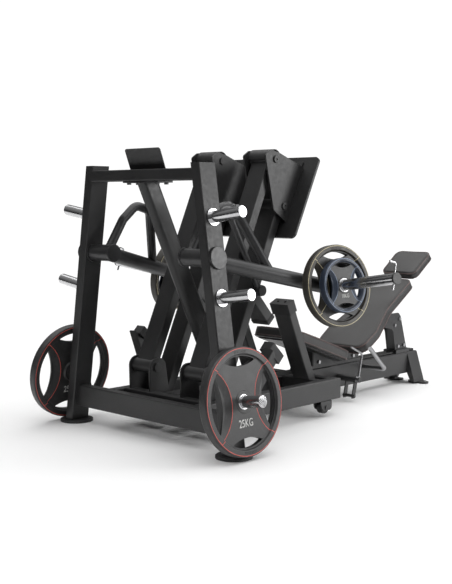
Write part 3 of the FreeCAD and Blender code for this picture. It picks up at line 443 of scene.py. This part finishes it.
def pad_mesh(node, plane):
    """Voxel mesh of the pad: shrunk, crowned by a formula and kept flat on its back."""
    thick = plane.front - plane.back
    mesh = NODES[node].data.copy()
    piece = bpy.data.objects.new("work_" + node, mesh)
    bpy.context.scene.collection.objects.link(piece)
    remesh = piece.modifiers.new("remesh", "REMESH")
    remesh.mode = "VOXEL"
    remesh.voxel_size = VOXEL
    graph = bpy.context.evaluated_depsgraph_get()
    fine = bpy.data.meshes.new_from_object(piece.evaluated_get(graph))
    piece.modifiers.clear()
    piece.data = fine
    centre = plane.right * plane.middle.x + plane.up * plane.middle.y
    for v in fine.vertices:
        flat = v.co - plane.normal * v.co.dot(plane.normal)
        inwards = centre - flat
        v.co += inwards.normalized() * min(SHRINK, inwards.length)
        height = v.co.dot(plane.normal) - plane.back
        v.co -= plane.normal * (SHRINK * 1.6 * height / thick)
    rest = [v.co.copy() for v in fine.vertices]
    moved = simulate(piece)
    half = max((p - plane.middle).length for p in plane.outline)
    for v, start, goal in zip(fine.vertices, rest, moved):
        shift = goal - start
        if shift.length > SWELL_CAP:
            shift = shift.normalized() * SWELL_CAP
        height = (start.dot(plane.normal) - plane.back) / thick
        hold = min(1.0, max(0.0, height / HOLD_SHARE))
        q = Vector((start.dot(plane.right), start.dot(plane.up))) - plane.middle
        crown = CROWN * max(0.0, 1 - (q.length / half) ** 2) * (1 if height > 0.8 else 0)
        v.co = start + shift * hold + plane.normal * crown
        over = v.co.dot(plane.normal) - plane.front - OVER_FRONT
        if over > 0:
            v.co -= plane.normal * over
    bpy.data.objects.remove(piece)
    for polygon in fine.polygons:
        polygon.use_smooth = True
    return fine


def hug(points, tree, lift):
    """Moves a closed path onto the pad's surface and smooths it."""
    path = []
    for p in points:
        place, normal, _, _ = tree.find_nearest(p)
        path.append(place + normal * lift)
    count = len(path)
    for _ in range(3):
        path = [(path[i - 1] + path[i] * 2 + path[(i + 1) % count]) / 4 for i in range(count)]
    return path


def make_pad(node, body):
    """Cushion that replaces a CAD pad, with two runs of piping and a line of stitches."""
    plane = PadPlane(node)
    thick = plane.front - plane.back
    mesh = pad_mesh(node, plane)
    top_seam = plane.loop(0.004, thick - SEAM_DEPTH)
    piece = new_object(node + "_cushion", mesh, "leather", body)
    smooth = piece.modifiers.new("smooth", "SUBSURF")
    smooth.levels = 1
    smooth.render_levels = 1
    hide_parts(node)

    tree = BVHTree.FromPolygons([v.co.copy() for v in mesh.vertices],
                                [tuple(p.vertices) for p in mesh.polygons])
    bm = bmesh.new()
    add_tube(bm, hug(top_seam, tree, 0.0006), 0.0030, closed=True, sides=10)
    add_tube(bm, hug(plane.loop(0.0, 0.006), tree, 0.0002), 0.0024, closed=True, sides=8)
    piping = new_object(node + "_piping", finish_mesh(bm, node + "_piping"), "piping", body)

    bm = bmesh.new()
    line = hug(plane.loop(STITCH_INSET, thick), tree, 0.0)
    for i in range(0, len(line), 2):
        a, b = line[i], line[(i + 1) % len(line)]
        normal = tree.find_nearest(a)[1]
        add_tube(bm, [a - normal * 0.0002, a.lerp(b, 0.5) + normal * 0.0004, b - normal * 0.0002],
                 THREAD_R, sides=5)
    thread = new_object(node + "_stitches", finish_mesh(bm, node + "_stitches"), "thread", body)


# ---- weight plates ------------------------------------------------------------------
class PlateFace:
    """One face of a weight plate: its axes, sizes and surface, read from the CAD solid."""

    def __init__(self, node, joint, front=True):
        low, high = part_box(node)
        outwards = Vector(JOINTS[joint]["axis"]).normalized()
        self.axis = outwards if front else -outwards
        self.up = (Vector((0, 0, 1)) - self.axis * self.axis.z).normalized()
        self.right = self.up.cross(self.axis).normalized()
        self.centre = (low + high) / 2
        mesh = NODES[node].data
        offsets = [v.co - self.centre for v in mesh.vertices]
        self.radius = max((d - self.axis * d.dot(self.axis)).length for d in offsets)
        self.half = max(d.dot(self.axis) for d in offsets)
        self.tree = BVHTree.FromPolygons([v.co.copy() for v in mesh.vertices],
                                         [tuple(p.vertices) for p in mesh.polygons])

    def point(self, x, y, height):
        return self.centre + self.right * x + self.up * y + self.axis * height

    def on_face(self, x, y, lift=0.0002):
        """Point on the plate's surface at x, y, seen along the axis."""
        place = self.tree.ray_cast(self.point(x, y, 0.1), -self.axis)[0]
        return place + self.axis * lift

    def local(self, p):
        d = p - self.centre
        return d.dot(self.right), d.dot(self.up)


DISH_CENTRE = 1.06                    # of the plate's radius, like the sizes below
DISH_RADIUS = 0.75
RIM_LINE = 0.966
RIM_INNER = 0.85
RIB_RADIUS = 0.912
RIB_LENGTH = 0.050
RIB_ROWS = [(90, 9, 2.3, 0.006), (270, 9, 2.3, 0.006),       # middle, count, pitch, width
            (0, 4, 3.2, 0.014), (180, 4, 3.2, 0.014)]


def plate_lines(face):
    """Ring at the rim's edge and the two side arcs that bound the dished bands."""
    bm = bmesh.new()
    r = face.radius
    half_width = 0.0010 + 0.0018 * r
    ring = [face.on_face(r * RIM_LINE * math.cos(a), r * RIM_LINE * math.sin(a))
            for a in (2 * math.pi * i / 180 for i in range(180))]
    add_tube(bm, ring, half_width, closed=True, sides=8, flatten=0.32, flat_axis=face.axis)
    arc_r = DISH_RADIUS + 0.006
    reach = (DISH_CENTRE ** 2 + arc_r ** 2 - RIM_LINE ** 2) / (2 * DISH_CENTRE * arc_r)
    half = math.acos(reach)
    for sign in (1, -1):
        arc = []
        for i in range(161):
            a = -half + 2 * half * i / 160
            x = sign * r * (DISH_CENTRE - arc_r * math.cos(a))
            arc.append(face.on_face(x, r * arc_r * math.sin(a)))
        add_tube(bm, arc, half_width, sides=8, flatten=0.32, flat_axis=face.axis)
    return bm


def plate_ribs(face):
    """Raised grip ribs on the rim: fine rows at the top and bottom, bolder ones at the sides."""
    bm = bmesh.new()
    r = face.radius
    for middle, count, pitch, width in RIB_ROWS:
        for i in range(count):
            a = math.radians(middle + (i - (count - 1) / 2) * pitch)
            out = face.right * math.cos(a) + face.up * math.sin(a)
            across = face.axis.cross(out)
            centre = face.centre + out * (RIB_RADIUS * r) + face.axis * (face.half + 0.0001)
            add_box(bm, centre, out, across, face.axis, (RIB_LENGTH * r, width * r, 0.0018),
                    0.0005)
    return bm


def plate_insert(face):
    """Steel ring round the plate's bore."""
    bm = bmesh.new()
    steps = 64
    floor = (face.on_face(0.030, 0.0) - face.centre).dot(face.axis)
    profile = [(0.0254, floor - 0.0008), (0.0254, floor + 0.0010), (0.0262, floor + 0.0019),
               (0.0305, floor + 0.0019), (0.0325, floor + 0.0004), (0.0325, floor - 0.0008)]
    rings = []
    for i in range(steps):
        a = 2 * math.pi * i / steps
        rings.append([bm.verts.new(face.point(r * math.cos(a), r * math.sin(a), h))
                      for r, h in profile])
    for i in range(steps):
        first, second = rings[i], rings[(i + 1) % steps]
        for k in range(len(profile)):
            j = (k + 1) % len(profile)
            bm.faces.new((first[k], first[j], second[j], second[k]))
    return bm


def plate_number(face, words, name):
    """Raised weight mark below the bore."""
    curve = bpy.data.curves.new(name, "FONT")
    curve.body = words
    curve.size = 0.20 * face.radius
    curve.extrude = 0.0007
    curve.bevel_depth = 0.0003
    curve.align_x = "CENTER"
    curve.align_y = "CENTER"
    curve.resolution_u = 4
    text = bpy.data.objects.new(name, curve)
    bpy.context.scene.collection.objects.link(text)
    graph = bpy.context.evaluated_depsgraph_get()
    mesh = bpy.data.meshes.new_from_object(text.evaluated_get(graph))
    bpy.data.objects.remove(text)
    turn = Matrix((face.right * 0.78, face.up, face.axis)).transposed().to_4x4()
    mesh.transform(Matrix.Translation(face.on_face(0, -0.39 * face.radius, 0.0003)) @ turn)
    return mesh


def join(bms, name, smooth=True):
    """One mesh from several."""
    whole = bmesh.new()
    for bm in bms:
        part = finish_mesh(bm, "part", smooth)
        whole.from_mesh(part)
        bpy.data.meshes.remove(part)
    mesh = bpy.data.meshes.new(name)
    whole.to_mesh(mesh)
    whole.free()
    return mesh


def dress_plate(node, joint, body, words, line, tint):
    """Lines, ribs and marks on both faces, a bore ring and a tinted rim."""
    faces = [PlateFace(node, joint), PlateFace(node, joint, front=False)]
    lines = join([plate_lines(f) for f in faces], node + "_lines")
    ribs = join([plate_ribs(f) for f in faces], node + "_ribs", False)
    insert = finish_mesh(plate_insert(faces[0]), node + "_insert")
    new_object(node + "_lines", lines, line, body)
    new_object(node + "_ribs", ribs, tint, body)
    new_object(node + "_insert", insert, "chrome", body)
    for face, end in zip(faces, ("front", "back")):
        name = node + "_mark_" + end
        new_object(name, plate_number(face, words, name), "white", body)

    def tinted(polygon):
        x, y = faces[0].local(polygon.center)
        r = math.hypot(x, y) / faces[0].radius
        dish = math.hypot(abs(x) / faces[0].radius - DISH_CENTRE, y / faces[0].radius)
        return r > RIM_INNER - 0.005 or dish < DISH_RADIUS + 0.002

    if tint != "plate":
        repaint(node, tint, tinted)


def dress_plates():
    for side in SIDES:
        dress_plate("storage_plate_" + side, "stored_plate_slide_" + side, "stored_plate_" + side,
                    "25KG", "red", "plate")
        dress_plate("lever_plate_large_" + side, "large_plate_slide_" + side,
                    "large_plate_" + side, "15KG", "cream", "plate_warm")
        dress_plate("lever_plate_small_" + side, "small_plate_slide_" + side,
                    "small_plate_" + side, "10KG", "blue", "plate_blue")


HORN_CAP = 0.0079                     # depth of the plate horn's end cap
TREAD = 0.0048                        # depth of the foot plate's rubber sheet
TREAD_TILT = math.radians(26.3)


def dress_frame():
    """Second materials on CAD nodes that are made of two."""
    out = Vector((0, math.cos(TREAD_TILT), -math.sin(TREAD_TILT)))
    for side in SIDES:
        name = "lever_horn_" + side
        axis = Vector(JOINTS["large_plate_slide_" + side]["axis"]).normalized()
        end = max(v.co.dot(axis) for v in NODES[name].data.vertices)
        repaint(name, "cap", lambda p: p.center.dot(axis) > end - HORN_CAP)
        name = "foot_plate_" + side
        face = max(v.co.dot(out) for v in NODES[name].data.vertices)
        repaint(name, "tread", lambda p: p.center.dot(out) > face - TREAD)


# ---- floor and light ----------------------------------------------------------------
FLOOR_HALF = 3.4
FLOOR_Z = -0.0005
SEEN_STRENGTH = 1.05                  # of the white that the camera sees
SKY_LOW = (-0.1, 0.03)                # (height of the direction, strength)
SKY_HIGH = (0.9, 0.50)


def make_floor():
    bm = bmesh.new()
    bmesh.ops.create_grid(bm, x_segments=1, y_segments=1, size=FLOOR_HALF)
    mesh = finish_mesh(bm, "floor")
    floor = bpy.data.objects.new("floor", mesh)
    floor.location.z = FLOOR_Z
    bpy.context.scene.collection.objects.link(floor)
    s = Shader("pale floor")
    grain = s.noise(3.0, 2.0)
    s.feed(s.bsdf.inputs["Base Color"], s.mix(grain, (0.93, 0.93, 0.93), (0.95, 0.95, 0.95)))
    s.bsdf.inputs["Roughness"].default_value = 0.6
    s.bsdf.inputs["Specular IOR Level"].default_value = 0.2
    mesh.materials.append(s.material)


def make_world():
    """White studio: the camera sees plain white, and the object is lit by a soft gradient."""
    world = bpy.data.worlds.new("studio")
    bpy.context.scene.world = world
    world.use_nodes = True
    tree = world.node_tree
    tree.nodes.clear()
    out = tree.nodes.new("ShaderNodeOutputWorld")
    pick = tree.nodes.new("ShaderNodeMixShader")
    path = tree.nodes.new("ShaderNodeLightPath")
    seen = tree.nodes.new("ShaderNodeBackground")
    seen.inputs["Color"].default_value = (1, 1, 1, 1)
    seen.inputs["Strength"].default_value = SEEN_STRENGTH
    lit = tree.nodes.new("ShaderNodeBackground")
    coords = tree.nodes.new("ShaderNodeTexCoord")
    split = tree.nodes.new("ShaderNodeSeparateXYZ")
    height = tree.nodes.new("ShaderNodeMapRange")
    for end, (place, strength) in (("Min", SKY_LOW), ("Max", SKY_HIGH)):
        height.inputs["From " + end].default_value = place
        height.inputs["To " + end].default_value = strength
    link = tree.links.new
    link(coords.outputs["Generated"], split.inputs["Vector"])
    link(split.outputs["Z"], height.inputs["Value"])
    link(height.outputs["Result"], lit.inputs["Strength"])
    link(path.outputs["Is Camera Ray"], pick.inputs["Fac"])
    link(lit.outputs["Background"], pick.inputs[1])
    link(seen.outputs["Background"], pick.inputs[2])
    link(pick.outputs["Shader"], out.inputs["Surface"])


def make_light(name, kind, energy, place, aim, size, height=None):
    """A sun, whose size is its angle, or a rectangular softbox."""
    data = bpy.data.lights.new(name, kind)
    data.energy = energy
    if kind == "SUN":
        data.angle = size
    else:
        data.shape = "RECTANGLE"
        data.size = size
        data.size_y = height
    light = bpy.data.objects.new(name, data)
    light.location = place
    light.rotation_euler = (Vector(aim) - Vector(place)).to_track_quat("-Z", "Y").to_euler()
    bpy.context.scene.collection.objects.link(light)


def make_lights():
    make_light("overhead sun", "SUN", 2.75, (0.4, 1.2, 6.0), (0, 0, 0), math.radians(95))
    make_light("right softbox", "AREA", 150.0, (4.8, 3.4, 1.7), (0.2, 0.2, 0.7), 2.6, 2.2)


def main():
    make_camera()
    make_world()
    make_lights()
    make_floor()
    paint_nodes()
    make_pad("seat_pad", "seat")
    make_pad("back_pad", "seat")
    make_pad("head_pad", "seat")
    dress_plates()
    dress_frame()
    bpy.context.scene.view_settings.view_transform = "Standard"


main()
